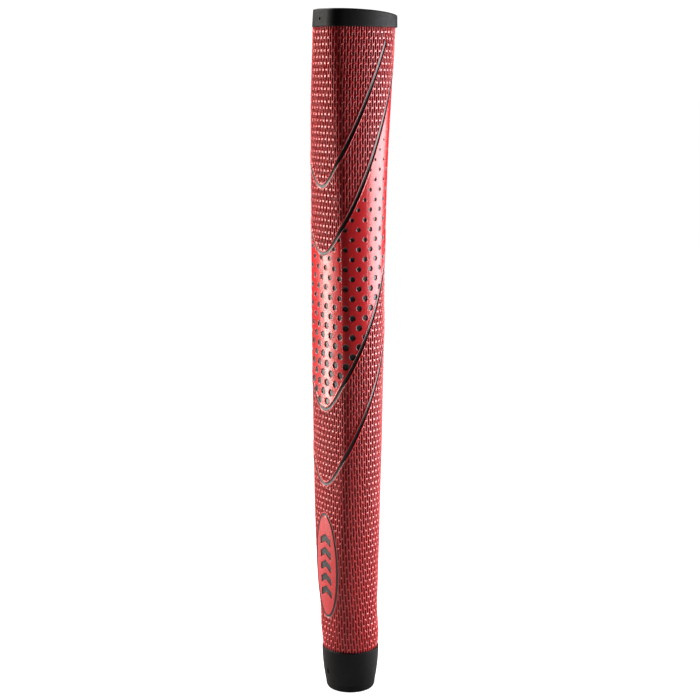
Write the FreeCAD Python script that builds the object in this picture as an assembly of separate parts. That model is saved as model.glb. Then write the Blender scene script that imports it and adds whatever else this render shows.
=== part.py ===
"""Oversize pistol putter grip: a rubber sleeve, a foam body, a felt-backed skin and two caps.

+Z runs up the shaft axis from the mouth to the butt. The origin is the centre of the mouth end
face, the flat thumb side faces -Y and the pistol hump stands out toward +Y. All sizes are in mm.
"""
import FreeCAD
import Part
import math
import os
from collections import namedtuple

V = FreeCAD.Vector
UP = V(0, 0, 1)
AXIS = V(0, 0, 0)

# Lengths along the shaft
GRIP_LENGTH = 273.0
MOUTH_CAP_LENGTH = 17.5
BUTT_CAP_HEIGHT = 7.0

# Shaft seat: a 0.580 inch round bore in a thin rubber sleeve
BORE_RADIUS = 7.37
SLEEVE_WALL = 1.0

# Layers bonded round the foam
SKIN_THICKNESS = 1.0
FELT_THICKNESS = 0.6
SEAM_WIDTH = 1.4

# Mouth of the grip, where the layers end in a plain round
MOUTH_FOAM = 1.23
MOUTH_CAP_LIP = 0.35
MOUTH_CAP_TAPER = 1.5
MOUTH_CAP_EDGE = 0.9
MOUTH_CAP_SHOULDER = 2.6

# Butt cap
BUTT_CAP_OVERHANG = 0.4
BUTT_CAP_SET_BACK = 0.3
BUTT_CAP_DRAFT = 0.25
BUTT_DOME_RADIUS = 130.0
BUTT_DOME_CENTRE_Y = -6.0
BUTT_CAP_EDGE = 0.5
COLLAR_DEPTH = 4.0
COLLAR_WALL = 0.6
VENT_RADIUS = 1.25

# Alignment marks sunk in the front of both caps
MARK_RADIUS = 0.5
MARK_DEPTH = 0.4
MOUTH_MARK_HEIGHT = 2.4
MOUTH_MARK_LEVEL = 8.0
BUTT_MARK_BELOW_TOP = 4.1

# Every cross-section is closed by tangent arcs. These are the directions of the outward normal,
# counted in degrees from the thumb side, where one arc hands over to the next.
CORNER_END = 70.0
SIDE_END = 120.0

# along: share of the way from mouth cap to butt cap; front: axis to the thumb face;
# flat: half width of the thumb face; crown, corner, side: radii of the arcs that follow it.
# They are drawn for a mouth of DRAWN_MOUTH_RADIUS. A wider bore or a thicker layer widens the
# mouth, and pushes every cross-section out by as much.
DRAWN_MOUTH_RADIUS = 11.2
Station = namedtuple("Station", "along front flat crown corner side")
PROFILE = [
    Station(0.045, 11.0, 3.9, 45.0, 8.0, 13.4),
    Station(0.113, 11.6, 6.2, 45.0, 6.0, 15.3),
    Station(0.181, 12.0, 7.9, 45.0, 5.1, 16.1),
    Station(0.247, 12.2, 8.8, 45.0, 4.8, 16.3),
    Station(0.380, 12.3, 10.1, 45.0, 4.6, 16.4),
    Station(0.511, 12.45, 10.5, 45.0, 4.6, 16.9),
    Station(0.640, 12.9, 9.5, 45.0, 4.8, 18.7),
    Station(0.767, 13.45, 8.4, 45.0, 5.1, 21.3),
    Station(0.890, 13.85, 7.0, 45.0, 5.8, 24.5),
    Station(0.952, 13.95, 5.4, 45.0, 6.1, 27.2),
]
MOUTH_FLAT = 3.9
BUTT_FRONT = 14.0
BUTT_SIDE = 29.0
BUTT_STATION = Station(1.0, BUTT_FRONT, 4.2, 45.0, 6.5, BUTT_SIDE)

# Heights and radii that follow from the sizes above
SKIN_BOTTOM = MOUTH_CAP_LENGTH
SKIN_TOP = GRIP_LENGTH - BUTT_CAP_HEIGHT
SLEEVE_RADIUS = BORE_RADIUS + SLEEVE_WALL
MOUTH_RADIUS = SLEEVE_RADIUS + MOUTH_FOAM + FELT_THICKNESS + SKIN_THICKNESS
GROWTH = MOUTH_RADIUS - DRAWN_MOUTH_RADIUS
CUT_MARGIN = 5.0


def stations():
    """All stations from the round mouth to the butt, lowest first."""
    r = DRAWN_MOUTH_RADIUS
    mouth = Station(0.0, r, MOUTH_FLAT, r, r, r)
    return [mouth] + PROFILE + [BUTT_STATION]


def height_of(station):
    """Height of a station above the mouth end face."""
    return SKIN_BOTTOM + station.along * (SKIN_TOP - SKIN_BOTTOM)


def outward(angle):
    """Unit vector at an angle in radians from the thumb side, turning toward +X."""
    return V(math.sin(angle), -math.cos(angle), 0)


def arc(centre, radius, start, end):
    """Arc whose outward normal turns from start to end."""
    points = [centre + outward(a) * radius for a in (start, (start + end) / 2, end)]
    return Part.Arc(*points).toShape()


def outline(station, height, grow=0.0, shift=0.0):
    """Closed cross-section: crown, corner, side and back arcs, each tangent to the next."""
    crown_end = math.asin(station.flat / station.crown)
    corner_end = math.radians(CORNER_END)
    side_end = math.radians(SIDE_END)
    crown_centre = V(0, station.crown - station.front + shift, height)
    corner_centre = crown_centre + outward(crown_end) * (station.crown - station.corner)
    side_centre = corner_centre + outward(corner_end) * (station.corner - station.side)
    side_foot = side_centre + outward(side_end) * station.side
    back = side_foot.x / math.sin(side_end)
    back_centre = side_foot - outward(side_end) * back
    right = [
        (corner_centre, station.corner, crown_end, corner_end),
        (side_centre, station.side, corner_end, side_end),
    ]
    edges = [arc(crown_centre, station.crown + grow, -crown_end, crown_end)]
    for centre, radius, start, end in right:
        edges.append(arc(centre, radius + grow, start, end))
    edges.append(arc(back_centre, back + grow, side_end, 2 * math.pi - side_end))
    for centre, radius, start, end in reversed(right):
        mirrored = V(-centre.x, centre.y, centre.z)
        edges.append(arc(mirrored, radius + grow, -end, -start))
    return Part.Wire(edges)


def body_loft(inset):
    """Solid through every station, drawn in by inset all round."""
    wires = [outline(s, height_of(s), GROWTH - inset) for s in stations()]
    return Part.makeLoft(wires, True, False)


def round_bar(radius, bottom, top):
    """Round bar on the shaft axis."""
    return Part.makeCylinder(radius, top - bottom, V(0, 0, bottom), UP)


def seam_slab():
    """Slab that marks out the joint down the middle of the back."""
    tall = SKIN_TOP - SKIN_BOTTOM + 2 * CUT_MARGIN
    corner = V(-SEAM_WIDTH / 2, 0, SKIN_BOTTOM - CUT_MARGIN)
    return Part.makeBox(SEAM_WIDTH, 4 * MOUTH_RADIUS, tall, corner)


def shaft_sleeve():
    """Rubber sleeve that the shaft is glued into."""
    tube = round_bar(SLEEVE_RADIUS, 0, SKIN_TOP)
    return tube.cut(round_bar(BORE_RADIUS, -CUT_MARGIN, SKIN_TOP + CUT_MARGIN))


def collar_bar():
    """Room that the butt cap's collar and what it surrounds take up."""
    return round_bar(SLEEVE_RADIUS + COLLAR_WALL, SKIN_TOP - COLLAR_DEPTH, SKIN_TOP)


def foam_body():
    """Light foam that gives the grip its pistol shape, with a rebate for the cap's collar."""
    core = body_loft(SKIN_THICKNESS + FELT_THICKNESS)
    return core.cut(round_bar(SLEEVE_RADIUS, 0, GRIP_LENGTH)).cut(collar_bar())


def felt_backing():
    """Felt layer bonded under the skin."""
    return body_loft(SKIN_THICKNESS).cut(body_loft(SKIN_THICKNESS + FELT_THICKNESS))


def skin_shell():
    """Whole ring of skin, before it is parted at the back."""
    return body_loft(0).cut(body_loft(SKIN_THICKNESS))


def polymer_skin():
    """One wrapped panel whose edges meet at the back seam."""
    return skin_shell().cut(seam_slab())


def seam_bead():
    """Strip that fills the joint between the panel's two edges."""
    return skin_shell().common(seam_slab())


def round_mark(radius, y, z):
    """Short round pin lying along Y, used to sink a mark into a front face."""
    return Part.makeCylinder(radius, CUT_MARGIN, V(0, y, z), V(0, -1, 0))


def mouth_cap():
    """Round rubber cap that narrows toward the mouth, with an upright mark on its front."""
    lip = MOUTH_RADIUS + MOUTH_CAP_LIP
    foot = lip - MOUTH_CAP_TAPER
    half_way = (MOUTH_CAP_LENGTH + MOUTH_CAP_SHOULDER) / 2
    middle = V(lip - MOUTH_CAP_TAPER / 4, 0, half_way)
    top = V(lip, 0, MOUTH_CAP_LENGTH)
    corner = V(foot, 0, MOUTH_CAP_SHOULDER)
    edge = V(foot - MOUTH_CAP_EDGE, 0, 0)
    edge_middle = V(foot - MOUTH_CAP_EDGE * 0.4, 0, MOUTH_CAP_SHOULDER * 0.36)
    inner_foot = V(SLEEVE_RADIUS, 0, 0)
    inner_top = V(SLEEVE_RADIUS, 0, MOUTH_CAP_LENGTH)
    wire = Part.Wire([
        Part.Arc(top, middle, corner).toShape(),
        Part.Arc(corner, edge_middle, edge).toShape(),
        Part.makeLine(edge, inner_foot),
        Part.makeLine(inner_foot, inner_top),
        Part.makeLine(inner_top, top),
    ])
    cap = Part.Face(wire).revolve(AXIS, UP, 360)
    floor_y = MARK_DEPTH - (lip - 0.45 * MOUTH_CAP_TAPER)
    low = MOUTH_MARK_LEVEL - MOUTH_MARK_HEIGHT / 2 + MARK_RADIUS
    high = MOUTH_MARK_LEVEL + MOUTH_MARK_HEIGHT / 2 - MARK_RADIUS
    slot_corner = V(-MARK_RADIUS, floor_y - CUT_MARGIN, low)
    cap = cap.cut(Part.makeBox(2 * MARK_RADIUS, CUT_MARGIN, high - low, slot_corner))
    for level in (low, high):
        cap = cap.cut(round_mark(MARK_RADIUS, floor_y, level))
    return cap


def butt_cap():
    """Domed rubber cap with a collar round the sleeve, a vent and a round mark on its front."""
    foot = GROWTH + BUTT_CAP_OVERHANG
    back = BUTT_CAP_SET_BACK
    base = outline(BUTT_STATION, SKIN_TOP, foot, back)
    brow = outline(BUTT_STATION, GRIP_LENGTH, foot - BUTT_CAP_DRAFT, back + BUTT_CAP_DRAFT)
    block = Part.makeLoft([base, brow], True, True)
    dome_centre = V(0, BUTT_DOME_CENTRE_Y, GRIP_LENGTH - BUTT_DOME_RADIUS)
    dome = Part.makeSphere(BUTT_DOME_RADIUS, dome_centre)
    cap = block.common(dome)
    rim = [e for e in cap.Edges if e.BoundBox.ZMin > SKIN_TOP + BUTT_CAP_HEIGHT / 4]
    cap = cap.makeFillet(BUTT_CAP_EDGE, rim)
    collar = collar_bar().cut(round_bar(SLEEVE_RADIUS, SKIN_TOP - 2 * COLLAR_DEPTH, GRIP_LENGTH))
    cap = cap.fuse(collar).removeSplitter()
    cap = cap.cut(round_bar(VENT_RADIUS, SKIN_TOP - CUT_MARGIN, GRIP_LENGTH))
    front = BUTT_STATION.front + foot - back - BUTT_CAP_DRAFT
    return cap.cut(round_mark(MARK_RADIUS, MARK_DEPTH - front, GRIP_LENGTH - BUTT_MARK_BELOW_TOP))


PIECES = [
    shaft_sleeve,
    foam_body,
    felt_backing,
    polymer_skin,
    seam_bead,
    mouth_cap,
    butt_cap,
]

os.makedirs("parts", exist_ok=True)
for make in PIECES:
    shape = make()
    print(make.__name__, shape.isValid(), len(shape.Solids), round(shape.Volume, 1), shape.BoundBox)
    shape.exportStep("parts/" + make.__name__ + ".step")
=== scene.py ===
import math

import bpy
import numpy as np
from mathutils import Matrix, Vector


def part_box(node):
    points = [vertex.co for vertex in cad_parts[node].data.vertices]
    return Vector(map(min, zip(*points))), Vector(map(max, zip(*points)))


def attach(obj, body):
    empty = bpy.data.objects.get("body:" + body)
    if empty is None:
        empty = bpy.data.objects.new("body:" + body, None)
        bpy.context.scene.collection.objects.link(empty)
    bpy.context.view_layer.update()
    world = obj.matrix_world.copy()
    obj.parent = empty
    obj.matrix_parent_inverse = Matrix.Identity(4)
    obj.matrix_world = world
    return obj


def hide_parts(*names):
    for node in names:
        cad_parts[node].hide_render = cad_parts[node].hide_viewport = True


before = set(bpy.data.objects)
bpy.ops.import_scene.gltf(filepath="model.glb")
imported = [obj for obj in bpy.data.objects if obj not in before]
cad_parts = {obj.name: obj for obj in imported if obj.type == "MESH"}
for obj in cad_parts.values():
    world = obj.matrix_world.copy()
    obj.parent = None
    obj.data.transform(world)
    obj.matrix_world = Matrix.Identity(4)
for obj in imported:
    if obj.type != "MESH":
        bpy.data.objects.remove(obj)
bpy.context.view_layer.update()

# SHAFT SLEEVE
# A thin black rubber tube that the shaft is glued into. It is extruded, cut to length and left
# dull from the talc of its mould. It carries the foam and shows only at the mouth.
MM = 0.001
SLEEVE_BLACK = (0.016, 0.016, 0.017, 1)
SLEEVE_TALC = (0.045, 0.045, 0.047, 1)

# Parts of a noise's range that give a moulded grain its height, its flecks and its clouds
GRAIN_HEIGHT = (0.25, 0.75)
GRAIN_FLECK = (0.56, 0.70)
GRAIN_CLOUD = (0.30, 0.70)


def add(tree, kind, values=None, **settings):
    """Adds a node to a tree, with its settings, and a value or a link for each named socket."""
    made = tree.nodes.new(kind)
    for name, value in settings.items():
        setattr(made, name, value)
    for socket, value in (values or {}).items():
        if isinstance(value, bpy.types.NodeSocket):
            tree.links.new(value, made.inputs[socket])
        else:
            made.inputs[socket].default_value = value
    return made


def blend_colours(tree, factor, low, high):
    """Colour that goes from low to high as the factor goes from 0 to 1; returns its socket."""
    made = add(tree, "ShaderNodeMix", data_type="RGBA")
    for socket, value in ((0, factor), (6, low), (7, high)):
        if isinstance(value, bpy.types.NodeSocket):
            tree.links.new(value, made.inputs[socket])
        else:
            made.inputs[socket].default_value = value
    return made.outputs[2]


def spread(tree, value, low, high, to_low=0.0, to_high=1.0, smooth=False):
    """Maps low..high of a value to to_low..to_high, clamped; returns the output socket."""
    made = add(
        tree,
        "ShaderNodeMapRange",
        {0: value, 1: low, 2: high, 3: to_low, 4: to_high},
        interpolation_type="SMOOTHSTEP" if smooth else "LINEAR",
    )
    return made.outputs[0]


def make_grain_group():
    """Group for the fine grain that moulding leaves: a height for bumps, flecks and soft clouds.

    The height is a noise as fine as Size in mm with a second one half as fine laid over it. The
    flecks are the same noise cut hard at its top, and the clouds are a noise Cloud mm across.
    """
    group = bpy.data.node_groups.new("moulded grain", "ShaderNodeTree")
    for name in ("Size", "Cloud"):
        group.interface.new_socket(name, in_out="INPUT", socket_type="NodeSocketFloat")
    for name in ("Height", "Fleck", "Cloud Mask"):
        group.interface.new_socket(name, in_out="OUTPUT", socket_type="NodeSocketFloat")
    given = group.nodes.new("NodeGroupInput")
    result = group.nodes.new("NodeGroupOutput")
    place = add(group, "ShaderNodeTexCoord").outputs["Object"]
    fine = add(group, "ShaderNodeMath", {0: 1 / MM, 1: given.outputs["Size"]}, operation="DIVIDE")
    wide = add(group, "ShaderNodeMath", {0: 1 / MM, 1: given.outputs["Cloud"]}, operation="DIVIDE")
    grain = add(
        group,
        "ShaderNodeTexNoise",
        {"Vector": place, "Scale": fine.outputs[0], "Detail": 1.5, "Roughness": 0.6},
    )
    clouds = add(
        group,
        "ShaderNodeTexNoise",
        {"Vector": place, "Scale": wide.outputs[0], "Detail": 3.0, "Roughness": 0.55},
    )
    for name, noise, window in (
        ("Height", grain, GRAIN_HEIGHT),
        ("Fleck", grain, GRAIN_FLECK),
        ("Cloud Mask", clouds, GRAIN_CLOUD),
    ):
        group.links.new(spread(group, noise.outputs["Fac"], *window), result.inputs[name])
    return group


GRAIN = make_grain_group()


def grained_finish(name, colour, fleck_colour, size, cloud, roughness, depth):
    """Material with a moulded grain: colour flecked and clouded, roughness between two values.

    Size, cloud and depth are in mm: how fine the grain is, how broad its clouds are and how
    high it stands. Returns the material, its tree and its shader for more work.
    """
    made = bpy.data.materials.new(name)
    made.use_nodes = True
    tree = made.node_tree
    shader = tree.nodes["Principled BSDF"]
    grain = tree.nodes.new("ShaderNodeGroup")
    grain.node_tree = GRAIN
    grain.inputs["Size"].default_value = size
    grain.inputs["Cloud"].default_value = cloud
    amount = add(
        tree,
        "ShaderNodeMath",
        {0: grain.outputs["Fleck"], 1: grain.outputs["Cloud Mask"]},
        operation="MULTIPLY",
    )
    base = blend_colours(tree, amount.outputs[0], colour, fleck_colour)
    tree.links.new(base, shader.inputs["Base Color"])
    rough = spread(tree, grain.outputs["Cloud Mask"], 0.0, 1.0, roughness[0], roughness[1])
    tree.links.new(rough, shader.inputs["Roughness"])
    bump = add(
        tree, "ShaderNodeBump", {"Height": grain.outputs["Height"], "Distance": depth * MM}
    )
    tree.links.new(bump.outputs["Normal"], shader.inputs["Normal"])
    return made, tree, shader


def dress(piece, material):
    """Puts one material on a piece in place of any it came with."""
    piece.data.materials.clear()
    piece.data.materials.append(material)


sleeve_rubber, _, sleeve_shader = grained_finish(
    "sleeve rubber",
    SLEEVE_BLACK,
    SLEEVE_TALC,
    size=0.3,
    cloud=4.0,
    roughness=(0.55, 0.72),
    depth=0.03,
)
sleeve_shader.inputs["Specular IOR Level"].default_value = 0.4
dress(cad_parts["shaft_sleeve"], sleeve_rubber)

# FOAM BODY
# The light closed-cell foam that gives the grip its pistol shape and takes up the shock of the
# stroke. It is moulded round the sleeve and ground to shape, so its cut cells are open.
FOAM_WALL = (0.33, 0.33, 0.32, 1)
# Colour of the middles of the open cells: painted shade in the cell hollows
FOAM_CELL_SHADE = (0.17, 0.17, 0.165, 1)
FOAM_CELL_SIZE = 0.7
FOAM_CELL_RIM = (0.15, 0.55)
FOAM_CELL_DEPTH = 0.15

foam, foam_tree, foam_shader = grained_finish(
    "ground foam",
    FOAM_WALL,
    FOAM_CELL_SHADE,
    size=0.35,
    cloud=5.0,
    roughness=(0.8, 0.95),
    depth=0.05,
)
cells = add(
    foam_tree,
    "ShaderNodeTexVoronoi",
    {
        "Vector": add(foam_tree, "ShaderNodeTexCoord").outputs["Object"],
        "Scale": 1 / (FOAM_CELL_SIZE * MM),
    },
)
# Each open cell is coloured darker toward its middle, where the bump sinks it: painted shade in
# the cell hollows, not a colour of the foam
hollow = spread(foam_tree, cells.outputs["Distance"], *FOAM_CELL_RIM, smooth=True)
foam_tree.links.new(
    blend_colours(foam_tree, hollow, FOAM_CELL_SHADE, FOAM_WALL), foam_shader.inputs["Base Color"]
)
foam_bump = add(
    foam_tree, "ShaderNodeBump", {"Height": hollow, "Distance": FOAM_CELL_DEPTH * MM}
)
foam_tree.links.new(foam_bump.outputs["Normal"], foam_shader.inputs["Normal"])
dress(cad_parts["foam_body"], foam)

# FELT BACKING
# The layer under the skin: polyester felt soaked in binder, glued round the foam. It lets the
# skin give a little under the thumbs, and only its edges would show at a worn end.
FELT_PALE = (0.52, 0.50, 0.46, 1)
FELT_DARK = (0.30, 0.29, 0.27, 1)
FIBRES_PER_METRE = 1800.0
FIBRE_TWIST = 2.5
FIBRE_EDGE = (0.4, 0.6)

felt, felt_tree, felt_shader = grained_finish(
    "pressed felt",
    FELT_DARK,
    FELT_PALE,
    size=0.2,
    cloud=3.0,
    roughness=(0.9, 1.0),
    depth=0.06,
)
felt_shader.inputs["Sheen Weight"].default_value = 0.3
fibres = add(
    felt_tree,
    "ShaderNodeTexNoise",
    {
        "Vector": add(felt_tree, "ShaderNodeTexCoord").outputs["Object"],
        "Scale": FIBRES_PER_METRE,
        "Detail": 3.0,
        "Distortion": FIBRE_TWIST,
    },
)
strands = spread(felt_tree, fibres.outputs["Fac"], *FIBRE_EDGE)
felt_tree.links.new(
    blend_colours(felt_tree, strands, FELT_DARK, FELT_PALE), felt_shader.inputs["Base Color"]
)
dress(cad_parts["felt_backing"], felt)

# POLYMER SKIN
# One panel of soft red polymer wrapped round the felt and joined down the back. A hot mould
# presses in its net, dimples, swept grooves and oval badge; black ink is wiped into them.
SKIN_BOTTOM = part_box("polymer_skin")[0].z / MM
SKIN_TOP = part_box("polymer_skin")[1].z / MM
SKIN_DEPTH = 0.97  # the skin's 1 mm less a hair, so that it doesn't share the felt's own face
SEAM_HALF = 0.7
CORNER_END = math.radians(70)
SIDE_END = math.radians(120)

# Share of the way up, axis to thumb face, half width of that face, then the radii of the
# crown, corner and side arcs, for each station where the section was laid down
STATIONS = np.array([
    (0.000, 11.20, 3.9, 11.2, 11.2, 11.2),
    (0.045, 11.00, 3.9, 45.0, 8.0, 13.4),
    (0.113, 11.60, 6.2, 45.0, 6.0, 15.3),
    (0.181, 12.00, 7.9, 45.0, 5.1, 16.1),
    (0.247, 12.20, 8.8, 45.0, 4.8, 16.3),
    (0.380, 12.30, 10.1, 45.0, 4.6, 16.4),
    (0.511, 12.45, 10.5, 45.0, 4.6, 16.9),
    (0.640, 12.90, 9.5, 45.0, 4.8, 18.7),
    (0.767, 13.45, 8.4, 45.0, 5.1, 21.3),
    (0.890, 13.85, 7.0, 45.0, 5.8, 24.5),
    (0.952, 13.95, 5.4, 45.0, 6.1, 27.2),
    (1.000, 14.00, 4.2, 45.0, 6.5, 29.0),
])


def faired(share, sizes):
    """One column of station sizes at any share of the way up, with no overshoot.

    Each span is a cubic. Its slope at a station is the harmonic mean of the slopes of the two
    straight lines that meet there, or zero where the sizes turn back.
    """
    knots = STATIONS[:, 0]
    line = np.diff(sizes) / np.diff(knots)
    product = line[:-1] * line[1:]
    total = np.where(product > 0, line[:-1] + line[1:], 1.0)
    inner = np.where(product > 0, 2 * product / total, 0.0)
    slope = np.concatenate(([line[0]], inner, [line[-1]]))
    i = np.clip(np.searchsorted(knots, share, side="right") - 1, 0, len(knots) - 2)
    width = knots[i + 1] - knots[i]
    t = (share - knots[i]) / width
    start = (1 + 2 * t) * (1 - t) ** 2 * sizes[i] + t * (1 - t) ** 2 * width * slope[i]
    end = t * t * (3 - 2 * t) * sizes[i + 1] - t * t * (1 - t) * width * slope[i + 1]
    return start + end


def section_arcs(z):
    """The half outline at height z: for its four arcs, the centre x and y, radius and length.

    Each arc starts where the last one ends, with the same normal: the crown until the thumb
    face is as wide as it should be, the corner to 70 degrees, the side to 120 degrees, and a
    back arc centred on the middle plane, which makes the outline meet its mirror image. The
    crown is faired by its curvature, one over its radius, as it goes from round to nearly flat.
    """
    share = np.clip((z - SKIN_BOTTOM) / (SKIN_TOP - SKIN_BOTTOM), 0, 1)
    front, flat, corner, side = (faired(share, STATIONS[:, k]) for k in (1, 2, 4, 5))
    crown = 1 / faired(share, 1 / STATIONS[:, 3])
    crown_end = np.arcsin(flat / crown)
    y1 = crown - front
    x2 = np.sin(crown_end) * (crown - corner)
    y2 = y1 - np.cos(crown_end) * (crown - corner)
    x3 = x2 + np.sin(CORNER_END) * (corner - side)
    y3 = y2 - np.cos(CORNER_END) * (corner - side)
    foot_x = x3 + np.sin(SIDE_END) * side
    back = foot_x / np.sin(SIDE_END)
    y4 = y3 - np.cos(SIDE_END) * side + np.cos(SIDE_END) * back
    turns = (crown_end, CORNER_END - crown_end, SIDE_END - CORNER_END, math.pi - SIDE_END)
    radii = (crown, corner, side, back)
    lengths = [r * a for r, a in zip(radii, turns)]
    return (0 * x2, x2, x3, 0 * x2), (y1, y2, y3, y4), radii, lengths


def half_girth(z):
    """Length of the outline at height z from the front centre line to the back one."""
    return sum(section_arcs(z)[3])


def skin_point(s, z, out=0.0, arcs=None):
    """Points and outward normals of the skin, s mm round from the front centre line, at z.

    The normal turns by the length covered on each arc over that arc's radius. The point is the
    arc's centre plus its radius along the normal, moved outward by out. Negative s mirrors x.
    """
    xs, ys, radii, lengths = arcs or section_arcs(z)
    far = np.abs(s)
    turn = 0 * far * z
    x = xs[0] + turn
    y = ys[0] + turn
    radius = radii[0] + turn
    start = 0.0
    for k in range(4):
        turn = turn + np.clip(far - start, 0, lengths[k]) / radii[k]
        on_arc = far >= start
        x = np.where(on_arc, xs[k], x)
        y = np.where(on_arc, ys[k], y)
        radius = np.where(on_arc, radii[k], radius)
        start = start + lengths[k]
    mirror = np.where(s < 0, -1.0, 1.0)
    normal = np.stack((mirror * np.sin(turn), -np.cos(turn), 0 * turn), axis=-1)
    points = np.stack((mirror * (x + radius * np.sin(turn)), y - radius * np.cos(turn)), axis=-1)
    points = points + normal[..., :2] * np.asarray(out)[..., None]
    return np.concatenate((points, (z + 0 * turn)[..., None]), axis=-1), normal


def rise(x, start, end):
    """0 before start, 1 after end, and a smooth S-shaped cubic between them."""
    t = np.clip((x - start) / (end - start), 0, 1)
    return t * t * (3 - 2 * t)


def bead(x, middle, width):
    """Bell curve, 1 at the middle: e to the power of minus the square of x's widths from it."""
    return np.exp(-(((x - middle) / width) ** 2))


# Each groove: height at the front centre line, how broad its foot is, steepness of its arms,
# and how far round its arms reach, where it isn't to the seam
GROOVES = (
    (205.55, 10.3, 2.41, 31.6),
    (179.45, 13.6, 2.56, None),
    (117.55, 11.3, 2.36, None),
    (87.05, 10.0, 2.27, None),
)

# A WALL is where a side of the pattern starts and ends, a BEAD is where a rounded lip stands and
# how wide it is, and X_TO_Y is the gap between two parts. All are in mm from the part's edge.
GROOVE_WIDTH = (1.3, 1.4)
GROOVE_WIDENS = (4, 16)
GROOVE_DEPTH = 0.28
GROOVE_WALL = (-0.08, 0.25)
GROOVE_LIP = 0.14
GROOVE_BEAD = (0.2, 0.17)
SEAM_MARGIN = 2.6

NET_PITCH = 1.115
NET_PITCH_GAIN = 0.06
NET_FAN = (45, 110)
NET_REPEAT = 4.76
NET_TO_GROOVE = 0.42
NET_TO_BADGE = 0.85
NET_WALL = (-0.1, 0.4)
NET_PANEL_WALL = (-0.2, 0.3)
SLOT_HALF_LENGTH = 1.98
SLOT_HALF_WIDTH = 0.25
SLOT_DEPTH = 0.4
SLOT_WALL = (-0.2, 0.2)
SLOT_TO_NET_EDGE = 0.1
SLOT_TO_PANEL = 0.2
STRAND_SINK = 0.07
KNUCKLE_HEIGHT = 0.06
KNUCKLE_HALF = (0.47, 0.44)
KNUCKLE_WALL = (0.62, 1.08)  # in shares of KNUCKLE_HALF

DIMPLE_ROW = 7.59
DIMPLE_COLUMN = 5.42
DIMPLE_FIRST_ROW = 132.5
DIMPLE_COLUMNS = (-0.8, 1.9)
DIMPLE_WIDTH = 2.85
DIMPLE_LEAST_WIDTH = 0.5
DIMPLE_SHRINK = 0.02  # mm for each mm above DIMPLE_SHRINK_START
DIMPLE_SHRINK_START = 134
DIMPLE_LAST_SHRINK = 0.3
DIMPLE_LAST_ROWS = (205, 235)
DIMPLE_DEPTH = 0.34
DIMPLE_WALL = (-0.08, 0.34)
DIMPLE_LIP = 0.04
DIMPLE_BEAD = (0.14, 0.1)
DIMPLE_TO_GROOVE = 0.12

BADGE_LEVEL = 53.0
BADGE_HALF = (7.5, 21.4)
BADGE_RAISE = 0.10
BADGE_WALL = (-0.55, -0.3)
BADGE_LIP = 0.10
BADGE_BEAD = (0.78, 0.2)
BADGE_SMOOTH_RIM = (0.7, 0.9)
RING_HALF_WIDTH = 0.54
RING_DEPTH = 0.16
RING_WALL = (-0.2, 0.08)
CHEVRONS = 5
CHEVRON_PITCH = 5.4
CHEVRON_HALF_WIDTH = 3.7
CHEVRON_HALF_THICKNESS = 1.25
CHEVRON_SLOPE = 0.55
CHEVRON_DEPTH = 0.3
CHEVRON_WALL = (-0.2, 0.05)
FAR = 9.0  # a distance outside every edge


def groove_sides(s, z, line, girth):
    """Signed distance in mm above a groove's middle line, and plain distance from its length.

    The line is a hyperbola, low + steep * (root of s² + foot², less foot). The height above it
    is turned square to the line by its slope. Past the end of an arm the plain distance grows
    with the length run past the end, which rounds that end.
    """
    low, foot, steep, reach = line
    root = np.sqrt(s * s + foot * foot)
    stretch = np.sqrt(1 + (steep * s / root) ** 2)
    above = (z - low - steep * (root - foot)) / stretch
    end = (girth - SEAM_MARGIN) if reach is None else reach
    past = np.clip((np.abs(s) - end) * stretch, 0, None)
    return above, np.hypot(above, past)


def dimple_distance(s, z):
    """Distance in mm outside the rim of the nearest dimple; the dimples shrink toward the top.

    Two lattices of the same pitch, the second moved half a row up and half a column over.
    """
    best = np.full(np.broadcast(s, z).shape, FAR)
    for column_start, row_start in zip(DIMPLE_COLUMNS, (0.0, DIMPLE_ROW / 2)):
        row = np.round((z - DIMPLE_FIRST_ROW - row_start) / DIMPLE_ROW)
        level = DIMPLE_FIRST_ROW + row_start + row * DIMPLE_ROW
        column = np.round((s - column_start) / DIMPLE_COLUMN)
        ds = s - column_start - column * DIMPLE_COLUMN
        width = DIMPLE_WIDTH - DIMPLE_SHRINK * np.clip(level - DIMPLE_SHRINK_START, 0, None)
        width = width - DIMPLE_LAST_SHRINK * rise(level, *DIMPLE_LAST_ROWS)
        radius = np.clip(width, DIMPLE_LEAST_WIDTH, None) / 2
        best = np.minimum(best, np.hypot(ds, z - level) - radius)
    return best


def slot_distance(s, z):
    """Distance in mm outside the rim of the nearest slot of the net, and from its knuckle.

    A slot is a capsule along z. Slots repeat every NET_REPEAT up each column, and every other
    column is moved up by half of that, so each bridge stands beside the middle of a slot. The
    columns fan out a little toward the mouth. The knuckle on a bridge is an ellipse whose edge
    is at distance 1.
    """
    pitch = NET_PITCH + NET_PITCH_GAIN * (1 - rise(z, *NET_FAN))
    column = np.round(s / pitch)
    ds = s - column * pitch
    start = np.where(column % 2 == 0, 0.0, NET_REPEAT / 2)
    dz = (z - start) - np.round((z - start) / NET_REPEAT) * NET_REPEAT
    along = np.clip(np.abs(dz) - (SLOT_HALF_LENGTH - SLOT_HALF_WIDTH), 0, None)
    across, up = ds / KNUCKLE_HALF[0], (NET_REPEAT / 2 - np.abs(dz)) / KNUCKLE_HALF[1]
    knuckle = np.hypot(across, up)
    return np.hypot(ds, along) - SLOT_HALF_WIDTH, knuckle


def badge_distance(s, z):
    """Distance in mm outside the oval badge: its level curves, over the steepness of the fall."""
    u, v = s / BADGE_HALF[0], (z - BADGE_LEVEL) / BADGE_HALF[1]
    size = np.maximum(np.hypot(u, v), 1e-6)
    fall = np.hypot(u / BADGE_HALF[0], v / BADGE_HALF[1]) / size
    return (size - 1) / np.maximum(fall, 1e-6)


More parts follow.
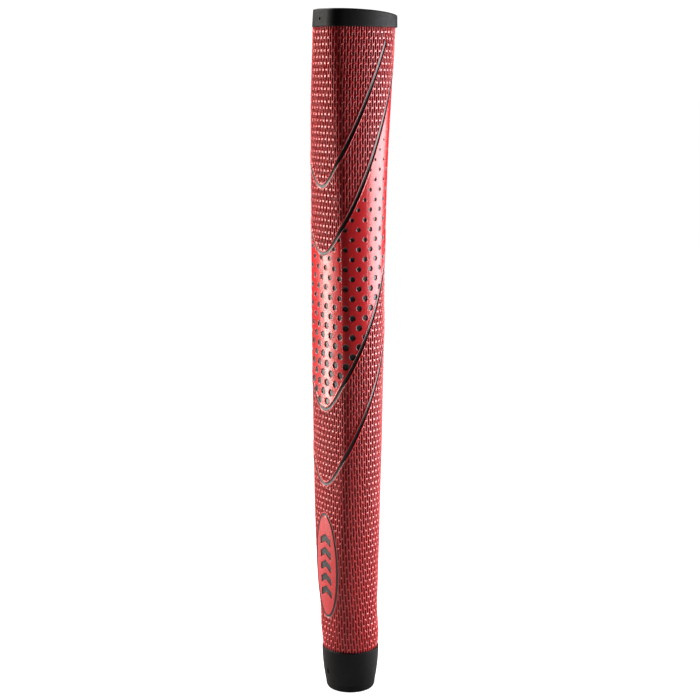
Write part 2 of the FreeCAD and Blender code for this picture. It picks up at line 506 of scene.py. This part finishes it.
def chevron_distance(s, z):
    """Distance in mm outside the nearest chevron of a column of them on the badge.

    The height above a chevron's sloping middle line is turned square to it by its slope, less
    half the thickness, and is cut off at the half width by taking the larger of the two.
    """
    level = z - BADGE_LEVEL - CHEVRON_SLOPE * (CHEVRON_HALF_WIDTH / 2 - np.abs(s))
    row = np.clip(np.round(level / CHEVRON_PITCH), -(CHEVRONS // 2), CHEVRONS // 2)
    square = np.abs(level - row * CHEVRON_PITCH) / math.hypot(1, CHEVRON_SLOPE)
    return np.maximum(square - CHEVRON_HALF_THICKNESS, np.abs(s) - CHEVRON_HALF_WIDTH)


def skin_relief(s, z, girth):
    """Height of the mould's pattern in mm, and the values kept on the mesh for the finish.

    Region by region from the mouth up: net, panel of dimples between the second and third
    groove from the top, net. The regions keep clear of every groove. Distances to edges are
    joined with the larger of two where one cuts the other, and with the smaller for a union.
    The values kept are the distance outside the ink and the shares of slot, knuckle and net.
    """
    height = np.zeros(np.broadcast(s, z).shape)
    clear = np.full(height.shape, FAR)
    above = []
    for line in GROOVES:
        side, away = groove_sides(s, z, line, girth)
        above.append(side)
        wider = (GROOVE_WIDTH[1] - GROOVE_WIDTH[0]) * rise(np.abs(s), *GROOVE_WIDENS)
        rim = away - (GROOVE_WIDTH[0] + wider) / 2
        height = height - GROOVE_DEPTH * rise(-rim, *GROOVE_WALL)
        height = height + GROOVE_LIP * bead(rim, *GROOVE_BEAD)
        clear = np.minimum(clear, rim)
    panel = np.minimum(above[2], -above[1])  # more than 0 inside the panel of dimples

    badge = badge_distance(s, z)
    slot, knuckle = slot_distance(s, z)
    room = np.minimum(clear - NET_TO_GROOVE, badge - NET_TO_BADGE)
    slot = np.maximum(np.maximum(slot, SLOT_TO_NET_EDGE - room), panel + SLOT_TO_PANEL)
    depth = 1 - rise(slot, *SLOT_WALL)
    weave = rise(room, *NET_WALL) * rise(-panel, *NET_PANEL_WALL)
    boss = weave * (1 - rise(knuckle, *KNUCKLE_WALL))
    height = height - SLOT_DEPTH * depth - STRAND_SINK * weave + KNUCKLE_HEIGHT * boss

    dimple = np.maximum(dimple_distance(s, z), np.maximum(DIMPLE_TO_GROOVE - clear, -panel))
    height = height - DIMPLE_DEPTH * rise(-dimple, *DIMPLE_WALL)
    height = height + DIMPLE_LIP * bead(dimple, *DIMPLE_BEAD)

    ring = np.abs(badge) - RING_HALF_WIDTH
    mark = chevron_distance(s, z)
    height = height + BADGE_RAISE * (1 - rise(badge, *BADGE_WALL))
    height = height - RING_DEPTH * (1 - rise(ring, *RING_WALL))
    height = height + BADGE_LIP * bead(badge, *BADGE_BEAD)
    height = height - CHEVRON_DEPTH * (1 - rise(mark, *CHEVRON_WALL))
    ink = np.minimum(np.minimum(clear, dimple), np.minimum(ring, mark))
    woven = weave * rise(badge, *BADGE_SMOOTH_RIM)
    return height, {"ink_edge": ink, "slot_depth": depth, "knuckle": boss, "net_share": woven}


def ring_mesh(name, rings, round_trip=False, sharp_after=None, marks=None):
    """Closed mesh from stacked rings of points, with its values kept as attributes.

    rings[r, j] is point j of ring r, counted anticlockwise seen from above, so that quads
    between rings face outward where the rings climb. The stack is shut by a face at each end,
    or by joining the last ring to the first. Quads past column sharp_after are shaded flat.
    """
    rows, count = rings.shape[:2]
    across = np.arange(count)
    following = (across + 1) % count
    spans = rows if round_trip else rows - 1
    r = np.arange(spans)[:, None]
    upper = (r + 1) % rows
    quads = np.stack(
        (
            r * count + across,
            r * count + following,
            upper * count + following,
            upper * count + across,
        ),
        axis=-1,
    ).reshape(-1, 4)
    starts = np.arange(len(quads)) * 4
    corners = quads.ravel()
    flat = np.zeros(len(quads), bool)
    if sharp_after is not None:
        flat = np.tile(across >= sharp_after, spans)
    if not round_trip:
        ends = np.concatenate((across[::-1], (rows - 1) * count + across))
        starts = np.concatenate((starts, [len(corners), len(corners) + count]))
        corners = np.concatenate((corners, ends))
        flat = np.concatenate((flat, [True, True]))
    mesh = bpy.data.meshes.new(name)
    mesh.vertices.add(rows * count)
    mesh.vertices.foreach_set("co", (rings.reshape(-1) * MM).astype(np.float32))
    mesh.loops.add(len(corners))
    mesh.loops.foreach_set("vertex_index", corners.astype(np.int32))
    mesh.polygons.add(len(starts))
    mesh.polygons.foreach_set("loop_start", starts.astype(np.int32))
    mesh.update(calc_edges=True)
    sharp = mesh.attributes.get("sharp_face")
    if sharp is None:
        sharp = mesh.attributes.new("sharp_face", "BOOLEAN", "FACE")
    sharp.data.foreach_set("value", flat)
    for label, values in (marks or {}).items():
        kept = mesh.attributes.new(label, "FLOAT", "POINT")
        kept.data.foreach_set("value", values.reshape(-1).astype(np.float32))
    mesh.validate()
    made = bpy.data.objects.new(name, mesh)
    bpy.context.scene.collection.objects.link(made)
    return made


SKIN_RED = (0.68, 0.020, 0.025, 1)
SKIN_RED_DEEP = (0.60, 0.015, 0.020, 1)
# Dark red for the floors of the net's slots: painted shade in the slots
SLOT_PAINTED_SHADE = (0.19, 0.006, 0.008, 1)
INK_BLACK = (0.007, 0.007, 0.007, 1)
INK_BLUR = 0.04
SLOT_SHADE = (0.15, 0.65)
NET_DULLER = 0.15
SLOT_DULLER = 0.35
INK_DULLER = 0.13

skin_finish, skin_tree, skin_shader = grained_finish(
    "moulded red skin",
    SKIN_RED,
    SKIN_RED_DEEP,
    size=0.22,
    cloud=9.0,
    roughness=(0.21, 0.27),
    depth=0.005,
)


def kept_value(tree, label):
    """Socket that gives a value kept on the mesh under this label."""
    return add(tree, "ShaderNodeAttribute", attribute_name=label).outputs["Fac"]


inked = spread(skin_tree, kept_value(skin_tree, "ink_edge"), -INK_BLUR, INK_BLUR, 1.0, 0.0)
# The net's slots are coloured a darker red as they deepen: painted shade in the slots, added to
# the shade their own walls cast
shaded = spread(skin_tree, kept_value(skin_tree, "slot_depth"), *SLOT_SHADE, smooth=True)
red = skin_shader.inputs["Base Color"].links[0].from_socket
red = blend_colours(skin_tree, shaded, red, SLOT_PAINTED_SHADE)
red = blend_colours(skin_tree, inked, red, INK_BLACK)
skin_tree.links.new(red, skin_shader.inputs["Base Color"])
dull = skin_shader.inputs["Roughness"].links[0].from_socket
for share, duller in (
    (kept_value(skin_tree, "net_share"), NET_DULLER),
    (shaded, SLOT_DULLER),
    (inked, INK_DULLER),
):
    more = add(
        skin_tree, "ShaderNodeMath", {0: share, 1: duller, 2: dull}, operation="MULTIPLY_ADD"
    )
    dull = more.outputs[0]
skin_tree.links.new(dull, skin_shader.inputs["Roughness"])
skin_tree.links.new(kept_value(skin_tree, "knuckle"), skin_shader.inputs["Coat Weight"])
skin_shader.inputs["Specular IOR Level"].default_value = 0.6
skin_shader.inputs["Coat Roughness"].default_value = 0.2
skin_shader.inputs["Coat IOR"].default_value = 1.75

STRIPS_PER_SIDE = 4
STRIP_COLUMNS = 84
ROWS_PER_REPEAT = 20
ROW_STEP = NET_REPEAT / ROWS_PER_REPEAT
INNER_COLUMNS = 8


def skin_strip(name, side, number):
    """Closed strip of skin as tall as the grip, one of STRIPS_PER_SIDE on each side.

    The strips share the way from the front centre line to the seam equally at every height. The
    outer wall is the skin's surface moved out by the pattern's height, the inner wall the same
    surface moved in by SKIN_DEPTH, with no ink and no pattern kept on it.
    """
    level = ROW_STEP * np.arange(math.ceil(SKIN_BOTTOM / ROW_STEP), int(SKIN_TOP / ROW_STEP) + 1)
    z = np.concatenate(([SKIN_BOTTOM], level, [SKIN_TOP]))[:, None]
    arcs = section_arcs(z)
    girth = sum(arcs[3])
    width = (girth - SEAM_HALF) / STRIPS_PER_SIDE
    near, far = width * number, width * (number + 1)
    edges = (near, far) if side > 0 else (-far, -near)
    across = np.linspace(0, 1, STRIP_COLUMNS + 1)[None, :]
    s = edges[0] + (edges[1] - edges[0]) * across
    height, marks = skin_relief(s, z, girth)
    outer, _ = skin_point(s, z, height, arcs)
    back = np.linspace(1, 0, INNER_COLUMNS + 1)[None, :]
    s_inner = edges[0] + (edges[1] - edges[0]) * back
    inner, _ = skin_point(s_inner, z, 0 * s_inner - SKIN_DEPTH, arcs)
    for label, values in marks.items():
        plain = np.full(s_inner.shape, FAR if label == "ink_edge" else 0.0)
        marks[label] = np.concatenate((values, plain), axis=1)
    walls = np.concatenate((outer, inner), axis=1)
    return ring_mesh(name, walls, sharp_after=STRIP_COLUMNS, marks=marks)


for side, word in ((1, "right"), (-1, "left")):
    for number in range(STRIPS_PER_SIDE):
        strip = skin_strip(f"skin_{word}_{number + 1}", side, number)
        dress(strip, skin_finish)
        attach(strip, "root")
        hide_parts("polymer_skin")

# SEAM BEAD
# The narrow strip of polymer that fills the joint where the panel's two edges meet down the
# back. It is melted in with a hot iron, so it lies a little hollow and smoother than the skin.
SEAM_HOLLOW = 0.16
SEAM_RIPPLE = 0.02
SEAM_RIPPLE_TURNS = (1.9, 0.83)
SEAM_COLUMNS = 14
SEAM_RED = (0.44, 0.016, 0.021, 1)
SEAM_RED_DEEP = (0.26, 0.009, 0.012, 1)


def seam_strip(name):
    """Closed strip SEAM_HALF each side of the back line, hollowed by half a cosine across.

    The iron's ripple is the product of two sines of the height, with SEAM_RIPPLE_TURNS radians
    to the millimetre, so that it never quite repeats.
    """
    rows = int(round((SKIN_TOP - SKIN_BOTTOM) / (2 * ROW_STEP))) + 1
    z = np.linspace(SKIN_BOTTOM, SKIN_TOP, rows)[:, None]
    arcs = section_arcs(z)
    girth = sum(arcs[3])
    across = np.linspace(-SEAM_HALF, SEAM_HALF, SEAM_COLUMNS + 1)[None, :]
    ripple = SEAM_RIPPLE * np.sin(z * SEAM_RIPPLE_TURNS[0]) * np.sin(z * SEAM_RIPPLE_TURNS[1])
    hollow = -SEAM_HOLLOW * np.cos(across / SEAM_HALF * math.pi / 2) + ripple
    outer, _ = skin_point(np.where(across < 0, girth + across, across - girth), z, hollow, arcs)
    under = across[:, ::-2]
    s_inner = np.where(under < 0, girth + under, under - girth)
    inner, _ = skin_point(s_inner, z, 0 * s_inner - SKIN_DEPTH, arcs)
    return ring_mesh(name, np.concatenate((outer, inner), axis=1), sharp_after=SEAM_COLUMNS)


seam_finish, _, _ = grained_finish(
    "melted seam",
    SEAM_RED,
    SEAM_RED_DEEP,
    size=0.3,
    cloud=3.0,
    roughness=(0.3, 0.5),
    depth=0.01,
)
seam = seam_strip("seam_line")
dress(seam, seam_finish)
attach(seam, "root")
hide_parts("seam_bead")

# MOUTH CAP
# A round cap of black rubber moulded over the lower end of the skin. It narrows toward the
# shaft with a soft shoulder, and an upright mark sunk in its front helps to line the grip up.
MOUTH_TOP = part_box("mouth_cap")[1].z / MM
MOUTH_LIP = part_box("mouth_cap")[1].x / MM
MOUTH_TAPER = 1.5
MOUTH_SHOULDER = 2.6
MOUTH_EDGE = 0.9
MOUTH_TOP_EDGE = 0.3
SHOULDER_CONTROL = (0.12, 0.35)  # in from the foot of the wall, and up from the end face
BORE_CHAMFER = 0.2
BORE_FOOT_CHAMFER = 0.25
SLEEVE_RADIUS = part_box("shaft_sleeve")[1].x / MM
CAP_FIT = 0.01
RUBBER_BLACK = (0.0105, 0.0105, 0.011, 1)
RUBBER_GREY = (0.021, 0.021, 0.023, 1)
MARK_RADIUS = 0.5
MARK_DEPTH = 0.4
MARK_WALL = (-0.1, 0.06)
# Near black for the floors of the sunk marks: painted shade in the marks
MARK_PAINTED_SHADE = (0.0012, 0.0012, 0.0012, 1)
MOUTH_MARK_LEVEL = 8.0
MOUTH_MARK_HALF = 1.2
MOUTH_MARK_ROOM = 1.6  # above and below the mark's middle, where the rows are fine
MARK_ROOM = 1.2  # to each side of a mark's middle, where the columns are fine
FINE_STEP = 0.07
MOUTH_ROW_STEP = 0.35
MOUTH_TURN_STEP = 0.05


def dense(low, high, start, end, step, fine):
    """Values from low to high, fine apart from start to end and about step apart elsewhere."""
    parts = ((low, start, step), (start, end, fine), (end, high, step))
    runs = [np.linspace(a, b, max(2, int((b - a) / d) + 1))[:-1] for a, b, d in parts if b > a]
    return np.concatenate(runs + [[high]])


def bend_through(start, control, end, count):
    """Points on the parabola that leaves start and reaches end, both aimed at control."""
    t = np.linspace(0, 1, count)[:, None]
    start, control, end = (np.array(p, float) for p in (start, control, end))
    return (1 - t) ** 2 * start + 2 * t * (1 - t) * control + t * t * end


def mouth_profile():
    """Radius and height round the wall of the cap, up the outside and down the bore.

    The outside is a parabola from the shoulder to the lip, steepest at the shoulder, and the
    shoulder is a second one down to the mouth's end face. Short round edges close the top.
    """
    foot = MOUTH_LIP - MOUTH_TAPER
    mark_foot = MOUTH_MARK_LEVEL - MOUTH_MARK_ROOM
    mark_head = MOUTH_MARK_LEVEL + MOUTH_MARK_ROOM
    wall_top = MOUTH_TOP - MOUTH_TOP_EDGE
    levels = dense(MOUTH_SHOULDER, wall_top, mark_foot, mark_head, MOUTH_ROW_STEP, FINE_STEP)
    climb = (levels - MOUTH_SHOULDER) / (MOUTH_TOP - MOUTH_SHOULDER)
    wall = np.stack((foot + MOUTH_TAPER * (2 * climb - climb * climb), levels), axis=-1)
    edge = (foot - MOUTH_EDGE, 0.0)
    control = (foot - SHOULDER_CONTROL[0], SHOULDER_CONTROL[1])
    shoulder = bend_through(edge, control, wall[0], 14)
    rim_end = (MOUTH_LIP - MOUTH_TOP_EDGE, MOUTH_TOP)
    top = bend_through(wall[-1], (MOUTH_LIP, MOUTH_TOP), rim_end, 6)
    inside = SLEEVE_RADIUS + CAP_FIT
    bore_rim = inside + BORE_CHAMFER
    land = [(r, MOUTH_TOP) for r in np.linspace(MOUTH_LIP - 2 * MOUTH_TOP_EDGE, bore_rim, 6)]
    bore_top = MOUTH_TOP - BORE_CHAMFER
    bore = [(inside, h) for h in np.linspace(bore_top, BORE_FOOT_CHAMFER, 24)]
    face = [(r, 0.0) for r in np.linspace(bore_rim, edge[0] - 0.1, 6)]
    return np.concatenate((shoulder[:-1], wall, top[1:], land, bore, face))


def upright_mark(offset, level):
    """Distance in mm outside the upright mark, a capsule on the front of the mouth cap."""
    along = np.abs(level - MOUTH_MARK_LEVEL) - (MOUTH_MARK_HALF - MARK_RADIUS)
    return np.hypot(offset, np.clip(along, 0, None)) - MARK_RADIUS


profile = mouth_profile()
front = MARK_ROOM / MOUTH_LIP
fine_turn = FINE_STEP / MOUTH_LIP
turn = dense(-math.pi, math.pi, -front, front, MOUTH_TURN_STEP, fine_turn)[:-1][None, :]
radius, level = profile[:, :1], profile[:, 1:]
on_wall = radius > MOUTH_LIP - MOUTH_TAPER
mark_share = (1 - rise(upright_mark(turn * radius, level), *MARK_WALL)) * on_wall
radius = radius - MARK_DEPTH * mark_share
cap_rings = np.stack((radius * np.sin(turn), -radius * np.cos(turn), level + 0 * turn), axis=-1)
mouth_cap = ring_mesh(
    "mouth_cap_rubber", cap_rings, round_trip=True, marks={"mark_share": mark_share}
)

cap_finish, cap_tree, cap_shader = grained_finish(
    "moulded black rubber",
    RUBBER_BLACK,
    RUBBER_GREY,
    size=0.34,
    cloud=2.2,
    roughness=(0.46, 0.6),
    depth=0.028,
)
cap_shader.inputs["Specular IOR Level"].default_value = 0.15
# The sunk marks on both caps are coloured near black as they deepen: painted shade in the marks,
# darker than the rubber's own black
cap_black = cap_shader.inputs["Base Color"].links[0].from_socket
cap_black = blend_colours(cap_tree, kept_value(cap_tree, "mark_share"), cap_black, MARK_PAINTED_SHADE)
cap_tree.links.new(cap_black, cap_shader.inputs["Base Color"])
dress(mouth_cap, cap_finish)
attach(mouth_cap, "root")
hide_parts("mouth_cap")

# BUTT CAP
# The black rubber plug that closes the top: a low domed lid a little wider than the skin, with
# a collar underneath that seats round the sleeve, a vent in the middle and a dot on its front.
BUTT_BOTTOM = SKIN_TOP
BUTT_HEIGHT = 7.0
BUTT_FULL_HEIGHT = BUTT_BOTTOM + BUTT_HEIGHT
BUTT_OVERHANG = 0.4
BUTT_SET_BACK = 0.3
BUTT_DRAFT = 0.25
DOME_RADIUS = 130.0
DOME_CENTRE_Y = -6.0
BUTT_EDGE = 0.5
BUTT_FOOT_EDGE = 0.22
COLLAR_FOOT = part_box("butt_cap")[0].z / MM
COLLAR_WALL = 0.6
COLLAR_CHAMFER = 0.1
VENT_RADIUS = 1.25
VENT_EDGE = 0.25
VENT_BEND = (0.08, 0.07)  # out from the vent's wall and down from its lip, midway round its edge
DOT_BELOW_TOP = 4.1
DOT_ROOM = 0.77  # above and below the dot's middle, where the rows are fine
LID_STEP = 0.55


def dome_height(x, y):
    """Height of the ball that shapes the lid over a point x, y."""
    flat_part = DOME_RADIUS**2 - x**2 - (y - DOME_CENTRE_Y) ** 2
    return BUTT_FULL_HEIGHT - DOME_RADIUS + np.sqrt(flat_part)


def lid_wall(share, s):
    """Point of the lid's side wall, share of the way from its foot to its full height.

    A straight line between the outline at the foot, the skin's with the overhang added and set
    back a little, and one above it that is smaller by the draft and moved back by the draft.
    """
    foot, _ = skin_point(s, SKIN_TOP + 0 * s, BUTT_OVERHANG + 0 * s)
    brow, _ = skin_point(s, SKIN_TOP + 0 * s, BUTT_OVERHANG - BUTT_DRAFT + 0 * s)
    foot = foot + np.array((0, BUTT_SET_BACK, 0))
    brow = brow + np.array((0, BUTT_SET_BACK + BUTT_DRAFT, BUTT_HEIGHT))
    share = np.asarray(share)[..., None]
    return foot * (1 - share) + brow * share


girth_top = float(half_girth(np.array(SKIN_TOP)))
lid_room = MARK_ROOM + 0.1
lid_s = dense(-girth_top, girth_top, -lid_room, lid_room, LID_STEP, FINE_STEP)[:-1]
rim_share = np.full(lid_s.shape, 0.9)
for _ in range(12):  # each round brings the wall's top nearer to where the dome cuts it
    at_rim = lid_wall(rim_share, lid_s)
    rim_share = (dome_height(at_rim[:, 0], at_rim[:, 1]) - BUTT_BOTTOM) / BUTT_HEIGHT
rim = lid_wall(rim_share, lid_s)
direction = np.arctan2(rim[:, 0], -rim[:, 1])


def level_ring(size, height):
    """Ring of the given radius about the shaft axis, its points in line with the lid's rim."""
    return np.stack(
        (size * np.sin(direction), -size * np.cos(direction), height + 0 * direction), axis=-1
    )


def on_dome(points):
    """The same points, lifted onto the lid's dome."""
    lifted = points.copy()
    lifted[..., 2] = dome_height(points[..., 0], points[..., 1])
    return lifted


flat_normal = skin_point(lid_s, SKIN_TOP + 0 * lid_s)[1]
dot_share = (BUTT_HEIGHT - DOT_BELOW_TOP) / BUTT_HEIGHT
dot_room = DOT_ROOM / BUTT_HEIGHT
wall_shares = dense(
    0.03, 1.0, dot_share - dot_room, dot_share + dot_room, 0.05, FINE_STEP / BUTT_HEIGHT
)
edge_start = rim_share - BUTT_EDGE / BUTT_HEIGHT
side_wall = np.stack([lid_wall(edge_start * share, lid_s) for share in wall_shares])
dot_away = np.hypot(lid_s, side_wall[..., 2] - (BUTT_FULL_HEIGHT - DOT_BELOW_TOP)) - MARK_RADIUS
dot_shares = 1 - rise(dot_away, *MARK_WALL)
side_wall -= MARK_DEPTH * dot_shares[..., None] * flat_normal

inset = on_dome(rim - flat_normal * BUTT_EDGE)
bend = np.linspace(0, 1, 7)[1:]
edge_rings = [(1 - t) ** 2 * side_wall[-1] + 2 * t * (1 - t) * rim + t * t * inset for t in bend]
vent_top = level_ring(VENT_RADIUS + VENT_EDGE, 0.0)
lid_rings = [on_dome(inset * (1 - t) + vent_top * t) for t in np.linspace(0, 1, 34)[1:]]
vent_lip = float(dome_height(0.0, 0.0))
collar = SLEEVE_RADIUS + CAP_FIT
outer_collar = SLEEVE_RADIUS + COLLAR_WALL
foot_inside = lid_wall(0.0, lid_s) - flat_normal * BUTT_FOOT_EDGE
chamfer_top = COLLAR_FOOT + COLLAR_CHAMFER

# From the collar's foot, up its outside, out under the lid, over the lid and back down the vent
rings = [level_ring(outer_collar - COLLAR_CHAMFER, COLLAR_FOOT)]
rings += [level_ring(outer_collar, h) for h in np.linspace(chamfer_top, BUTT_BOTTOM, 6)]
collar_top = level_ring(outer_collar, BUTT_BOTTOM)
rings += [collar_top * (1 - t) + foot_inside * t for t in np.linspace(0, 1, 6)[1:]]
below_wall = len(rings)
rings += [*side_wall, *edge_rings, *lid_rings]
rings += [level_ring(VENT_RADIUS + VENT_BEND[0], vent_lip - VENT_BEND[1])]
rings += [level_ring(VENT_RADIUS, h) for h in np.linspace(vent_lip - VENT_EDGE, BUTT_BOTTOM, 10)]
rings += [level_ring(r, BUTT_BOTTOM) for r in np.linspace(VENT_RADIUS, collar, 7)[1:]]
rings += [level_ring(collar, h) for h in np.linspace(BUTT_BOTTOM, COLLAR_FOOT, 6)[1:]]
mark_share = np.zeros((len(rings), len(lid_s)))
mark_share[below_wall : below_wall + len(dot_shares)] = dot_shares
butt_cap = ring_mesh(
    "butt_cap_rubber", np.stack(rings), round_trip=True, marks={"mark_share": mark_share}
)
dress(butt_cap, cap_finish)
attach(butt_cap, "root")
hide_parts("butt_cap")

# STUDIO
# The grip stands on its mouth on a wide pale floor. A tall soft box stands to the left of the
# camera and a broader one to the right and behind, so the corner that faces the camera is dark.
FLOOR_HALF = 12.0
FLOOR_PALE = (0.4, 0.4, 0.4, 1)
FLOOR_GLOW = 1.0
ROOM_GLOW = 0.014
BACKDROP_GLOW = 1.05
WARM_LIGHT = (1, 0.95, 0.88)
MILD_LIGHT = (1, 0.96, 0.92)
COOL_LIGHT = (0.96, 0.97, 1)
CAMERA_TURN = math.radians(57)
CAMERA_REACH = 0.609
CAMERA_HEIGHT = 0.248
CAMERA_PITCH = math.radians(10.037)
CAMERA_YAW = math.radians(0.017)
CAMERA_LENS = 79.96
AIM_HEIGHT = 0.15

floor_mesh = bpy.data.meshes.new("floor")
floor_mesh.from_pydata(
    [(x * FLOOR_HALF, y * FLOOR_HALF, 0) for x, y in ((-1, -1), (1, -1), (1, 1), (-1, 1))],
    [],
    [(0, 1, 2, 3)],
)
floor = bpy.data.objects.new("floor", floor_mesh)
bpy.context.scene.collection.objects.link(floor)
floor_finish = bpy.data.materials.new("pale floor")
floor_finish.use_nodes = True
floor_tree = floor_finish.node_tree
floor_shader = floor_tree.nodes["Principled BSDF"]
floor_shader.inputs["Base Color"].default_value = FLOOR_PALE
floor_shader.inputs["Roughness"].default_value = 0.9
floor_shader.inputs["Specular IOR Level"].default_value = 0.1
floor_shader.inputs["Emission Color"].default_value = (1, 1, 1, 1)
glow = add(floor_tree, "ShaderNodeLightPath").outputs["Is Camera Ray"]
floor_tree.links.new(
    spread(floor_tree, glow, 0.0, 1.0, 0.0, FLOOR_GLOW), floor_shader.inputs["Emission Strength"]
)
dress(floor, floor_finish)

world = bpy.data.worlds.new("studio")
world.use_nodes = True
bpy.context.scene.world = world
sky = world.node_tree
backdrop = sky.nodes["Background"]
backdrop.inputs["Color"].default_value = (1, 1, 1, 1)
seen = add(sky, "ShaderNodeLightPath").outputs["Is Camera Ray"]
sky.links.new(
    spread(sky, seen, 0.0, 1.0, ROOM_GLOW, BACKDROP_GLOW), backdrop.inputs["Strength"]
)


def soft_box(name, turn, reach, height, size, power, colour=(1, 1, 1)):
    """Soft box aimed at the grip, turn degrees from its thumb side toward +X, power in watts."""
    lamp = bpy.data.lights.new(name, "AREA")
    lamp.color = colour
    lamp.shape = "RECTANGLE"
    lamp.size, lamp.size_y = size
    lamp.energy = power
    box = bpy.data.objects.new(name, lamp)
    angle = math.radians(turn)
    box.location = (reach * math.sin(angle), -reach * math.cos(angle), height)
    aim = Vector((0, 0, AIM_HEIGHT)) - box.location
    box.rotation_euler = aim.to_track_quat("-Z", "Y").to_euler()
    box.visible_camera = False
    bpy.context.scene.collection.objects.link(box)


soft_box("left soft box", -50, 0.32, 0.16, size=(0.075, 0.36), power=1.1, colour=WARM_LIGHT)
soft_box("left high soft box", -68, 0.4, 0.62, size=(0.3, 0.3), power=7.0, colour=MILD_LIGHT)
soft_box("right soft box", 157, 0.32, 0.16, size=(0.25, 0.36), power=2.5, colour=COOL_LIGHT)
soft_box("top fill", 57, 0.7, 1.15, size=(0.5, 0.5), power=0.5)

camera_data = bpy.data.cameras.new("camera")
camera_data.lens = CAMERA_LENS
camera_data.sensor_width = 36
camera_data.clip_start = 0.05
camera_data.clip_end = 60
camera = bpy.data.objects.new("camera", camera_data)
camera.location = (
    CAMERA_REACH * math.sin(CAMERA_TURN),
    -CAMERA_REACH * math.cos(CAMERA_TURN),
    CAMERA_HEIGHT,
)
camera.rotation_euler = (math.pi / 2 - CAMERA_PITCH, 0, CAMERA_TURN + CAMERA_YAW)
bpy.context.scene.collection.objects.link(camera)
bpy.context.scene.camera = camera
bpy.context.scene.view_settings.view_transform = "Standard"
